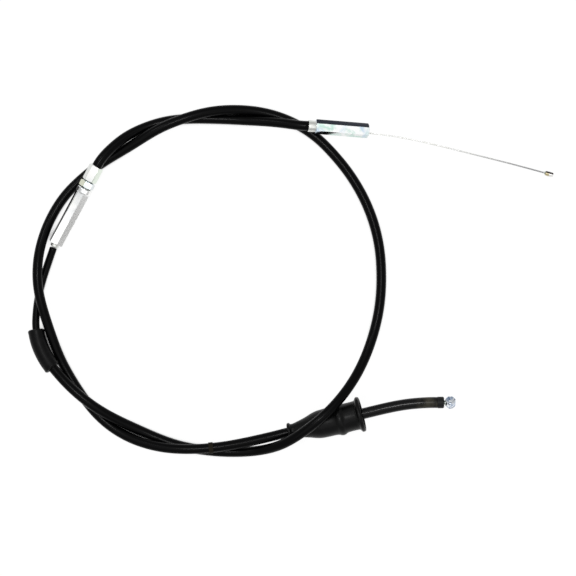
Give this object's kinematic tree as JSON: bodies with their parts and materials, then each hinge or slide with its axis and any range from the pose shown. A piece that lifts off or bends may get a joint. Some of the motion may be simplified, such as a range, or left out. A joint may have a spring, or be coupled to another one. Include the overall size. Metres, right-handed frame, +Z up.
{
  "type": "throttle cable",
  "caption": "Coiled black throttle cable with a hex ferrule and bare wire, an in-line hex adjuster, and a bent pipe in a bell-shaped rubber boot",
  "frame": {"origin": "centre of the bottom of the bounding box of the coil as it lies", "axes": "+Z up from the surface the cable lies on, +X from the adjuster towards the nipples, +Y towards the hex ferrule"},
  "size_m": [0.3278, 0.22, 0.0243],
  "materials": {
    "bright_zinc": "bright zinc plate with slight green and blue tints",
    "dull_zinc": "dull zinc plate",
    "nut_zinc": "zinc plate with a greenish tint",
    "wire_steel": "stranded steel wire",
    "nipple_brass": "dull brass",
    "nipple_silver": "bright plated",
    "conduit_jacket": "half-gloss black plastic",
    "boot_rubber": "matt black rubber",
    "cover_rubber": "satin black rubber",
    "pipe_black": "gloss black paint",
    "seal_rubber": "black rubber",
    "band_olive": "matt brown-olive"
  },
  "bodies": {
    "root": {"carb_ferrule": "bright_zinc", "ferrule_end_cap": "dull_zinc", "carb_wire": "wire_steel", "adjuster_head": "bright_zinc", "adjuster_screw": "bright_zinc", "adjuster_end_collar": "dull_zinc", "adjuster_upper_end_cap": "dull_zinc", "adjuster_inner_wire": "wire_steel", "conduit_carb_side": "conduit_jacket", "conduit_thin": "conduit_jacket", "conduit_main": "conduit_jacket", "marker_band": "band_olive", "throttle_pipe": "pipe_black", "pipe_end_seal": "seal_rubber"},
    "throttle_end": {"throttle_wire_tail": "wire_steel", "throttle_nipple": "nipple_silver"},
    "carb_end": {"carb_nipple": "nipple_brass"},
    "adjuster_barrel": {"adjuster_barrel": "bright_zinc"},
    "lock_nut": {"adjuster_lock_nut": "nut_zinc"},
    "boot": {"throttle_boot": "boot_rubber"},
    "cover": {"adjuster_cover": "cover_rubber"}
  },
  "joints": [
    {"name": "throttle_wire_pull", "type": "slide", "parent": "root", "child": "throttle_end", "axis": [0.9973, 0.0666, 0.0314], "range_m": [0, 0.028]},
    {"name": "carb_nipple_draw", "type": "slide", "parent": "root", "child": "carb_end", "axis": [-0.9751, 0.2203, 0.0235], "range_m": [0, 0.028], "deforming": ["carb_wire"]},
    {"name": "adjuster_barrel_turn", "type": "hinge", "parent": "root", "child": "adjuster_barrel", "pos_m": [-0.12129, 0.07152, 0.0113], "axis": [-0.4752, -0.8733, -0.1076], "continuous": true},
    {"name": "lock_nut_turn", "type": "hinge", "parent": "root", "child": "lock_nut", "pos_m": [-0.12129, 0.07152, 0.0113], "axis": [-0.4752, -0.8733, -0.1076], "continuous": true},
    {"name": "boot_slide", "type": "slide", "parent": "root", "child": "boot", "axis": [0.9674, 0.2419, 0.0752], "range_m": [0, 0.015]},
    {"name": "cover_slide", "type": "hinge", "parent": "root", "child": "cover", "pos_m": [-0.11372, -0.02411, 0.0068], "axis": [0.045, -0.1001, -0.994], "range_deg": [-3, 4]}
  ],
  "couplings": [
    {"joint": "carb_nipple_draw", "follows": "throttle_wire_pull", "ratio": 1}
  ]
}
